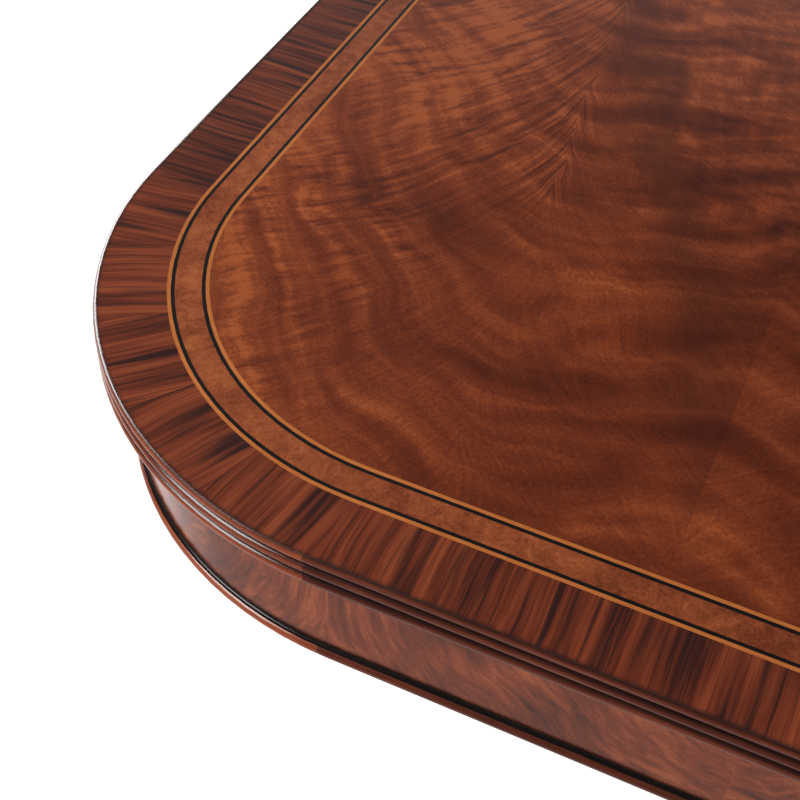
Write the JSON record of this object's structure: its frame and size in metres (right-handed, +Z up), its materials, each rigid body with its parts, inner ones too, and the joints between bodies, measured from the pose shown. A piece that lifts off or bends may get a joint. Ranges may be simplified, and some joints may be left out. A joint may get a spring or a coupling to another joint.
{
  "type": "dining table",
  "caption": "Twin-pedestal extending dining table with a rounded oblong banded top, reeded edge, deep frieze, telescopic slides, table locks and brass castors.",
  "frame": {"origin": "on the floor, below the centre of the closed top", "axes": "+X along the table's length, +Y across it to the back, +Z up; the corner in the picture is the one towards -X and -Y"},
  "size_m": [1.8964, 1.2254, 0.762],
  "materials": {
    "rosewood": "polished rosewood crossband, grain across the edge",
    "boxwood": "polished boxwood line",
    "ebony": "polished ebony and ebonised wood",
    "burl": "polished burl with fine mottle",
    "mahogany_veneer": "polished crotch mahogany",
    "mahogany_solid": "polished solid mahogany",
    "secondary_wood": "planed poplar, unfinished",
    "slide_wood": "waxed beech",
    "brass": "polished cast brass",
    "steel": "zinc-plated steel"
  },
  "bodies": {
    "left_half": {"left_apron": "mahogany_veneer", "left_base_bead": "mahogany_solid", "left_boxwood_stringing": "boxwood", "left_burl_band": "burl", "left_column": "mahogany_solid", "left_crossband": "rosewood", "left_ebonised_cove": "ebony", "left_ebony_stringing": "ebony", "left_field_veneer": "mahogany_veneer", "left_glue_blocks": "secondary_wood", "left_leg_1": "mahogany_solid", "left_leg_2": "mahogany_solid", "left_leg_3": "mahogany_solid", "left_pedestal_block": "mahogany_solid", "left_reeded_edge": "mahogany_solid", "left_screws": "steel", "left_slide_rails": "slide_wood", "left_toe_caps": "brass", "left_top_board": "secondary_wood", "left_underframe": "secondary_wood", "alignment_pins": "slide_wood", "lock_plates": "brass"},
    "right_half": {"right_apron": "mahogany_veneer", "right_base_bead": "mahogany_solid", "right_boxwood_stringing": "boxwood", "right_burl_band": "burl", "right_column": "mahogany_solid", "right_crossband": "rosewood", "right_ebonised_cove": "ebony", "right_ebony_stringing": "ebony", "right_field_veneer": "mahogany_veneer", "right_glue_blocks": "secondary_wood", "right_leg_1": "mahogany_solid", "right_leg_2": "mahogany_solid", "right_leg_3": "mahogany_solid", "right_pedestal_block": "mahogany_solid", "right_reeded_edge": "mahogany_solid", "right_screws": "steel", "right_slide_rails": "slide_wood", "right_toe_caps": "brass", "right_top_board": "secondary_wood", "right_underframe": "secondary_wood", "lock_keepers": "brass"},
    "middle_slides": {"back_middle_rail": "slide_wood", "front_middle_rail": "slide_wood", "slide_spreader": "slide_wood"},
    "front_lock_lever": {"front_lock_lever": "brass"},
    "back_lock_lever": {"back_lock_lever": "brass"},
    "left_castor_fork_1": {"left_castor_fork_1": "brass"},
    "left_castor_fork_2": {"left_castor_fork_2": "brass"},
    "left_castor_fork_3": {"left_castor_fork_3": "brass"},
    "left_castor_wheel_1": {"left_castor_wheel_1": "brass"},
    "left_castor_wheel_2": {"left_castor_wheel_2": "brass"},
    "left_castor_wheel_3": {"left_castor_wheel_3": "brass"},
    "right_castor_fork_1": {"right_castor_fork_1": "brass"},
    "right_castor_fork_2": {"right_castor_fork_2": "brass"},
    "right_castor_fork_3": {"right_castor_fork_3": "brass"},
    "right_castor_wheel_1": {"right_castor_wheel_1": "brass"},
    "right_castor_wheel_2": {"right_castor_wheel_2": "brass"},
    "right_castor_wheel_3": {"right_castor_wheel_3": "brass"}
  },
  "joints": [
    {"name": "extension", "type": "slide", "parent": "left_half", "child": "right_half", "axis": [1, 0, 0], "range_m": [0, 0.914]},
    {"name": "middle_travel", "type": "slide", "parent": "left_half", "child": "middle_slides", "axis": [1, 0, 0], "range_m": [0, 0.457]},
    {"name": "front_lock_turn", "type": "hinge", "parent": "left_half", "child": "front_lock_lever", "pos_m": [-0.05, -0.41025, 0.7274], "axis": [0, 0, 1], "range_deg": [0, 90]},
    {"name": "back_lock_turn", "type": "hinge", "parent": "left_half", "child": "back_lock_lever", "pos_m": [-0.05, 0.41025, 0.7274], "axis": [0, 0, 1], "range_deg": [0, 90]},
    {"name": "left_swivel_1", "type": "hinge", "parent": "left_half", "child": "left_castor_fork_1", "pos_m": [-0.87, 0, 0.05], "axis": [0, 0, 1], "continuous": true},
    {"name": "left_roll_1", "type": "hinge", "parent": "left_castor_fork_1", "child": "left_castor_wheel_1", "pos_m": [-0.858, 0, 0.019], "axis": [0, -1, 0], "continuous": true},
    {"name": "left_swivel_2", "type": "hinge", "parent": "left_half", "child": "left_castor_fork_2", "pos_m": [-0.2625, -0.35074, 0.05], "axis": [0, 0, 1], "continuous": true},
    {"name": "left_roll_2", "type": "hinge", "parent": "left_castor_fork_2", "child": "left_castor_wheel_2", "pos_m": [-0.2685, -0.34035, 0.019], "axis": [0.866, 0.5, 0], "continuous": true},
    {"name": "left_swivel_3", "type": "hinge", "parent": "left_half", "child": "left_castor_fork_3", "pos_m": [-0.2625, 0.35074, 0.05], "axis": [0, 0, 1], "continuous": true},
    {"name": "left_roll_3", "type": "hinge", "parent": "left_castor_fork_3", "child": "left_castor_wheel_3", "pos_m": [-0.2685, 0.34035, 0.019], "axis": [-0.866, 0.5, 0], "continuous": true},
    {"name": "right_swivel_1", "type": "hinge", "parent": "right_half", "child": "right_castor_fork_1", "pos_m": [0.87, 0, 0.05], "axis": [0, 0, 1], "continuous": true},
    {"name": "right_roll_1", "type": "hinge", "parent": "right_castor_fork_1", "child": "right_castor_wheel_1", "pos_m": [0.858, 0, 0.019], "axis": [0, -1, 0], "continuous": true},
    {"name": "right_swivel_2", "type": "hinge", "parent": "right_half", "child": "right_castor_fork_2", "pos_m": [0.2625, 0.35074, 0.05], "axis": [0, 0, 1], "continuous": true},
    {"name": "right_roll_2", "type": "hinge", "parent": "right_castor_fork_2", "child": "right_castor_wheel_2", "pos_m": [0.2685, 0.34035, 0.019], "axis": [0.866, 0.5, 0], "continuous": true},
    {"name": "right_swivel_3", "type": "hinge", "parent": "right_half", "child": "right_castor_fork_3", "pos_m": [0.2625, -0.35074, 0.05], "axis": [0, 0, 1], "continuous": true},
    {"name": "right_roll_3", "type": "hinge", "parent": "right_castor_fork_3", "child": "right_castor_wheel_3", "pos_m": [0.2685, -0.34035, 0.019], "axis": [-0.866, 0.5, 0], "continuous": true}
  ],
  "couplings": [
    {"joint": "middle_travel", "follows": "extension", "ratio": 0.5}
  ]
}
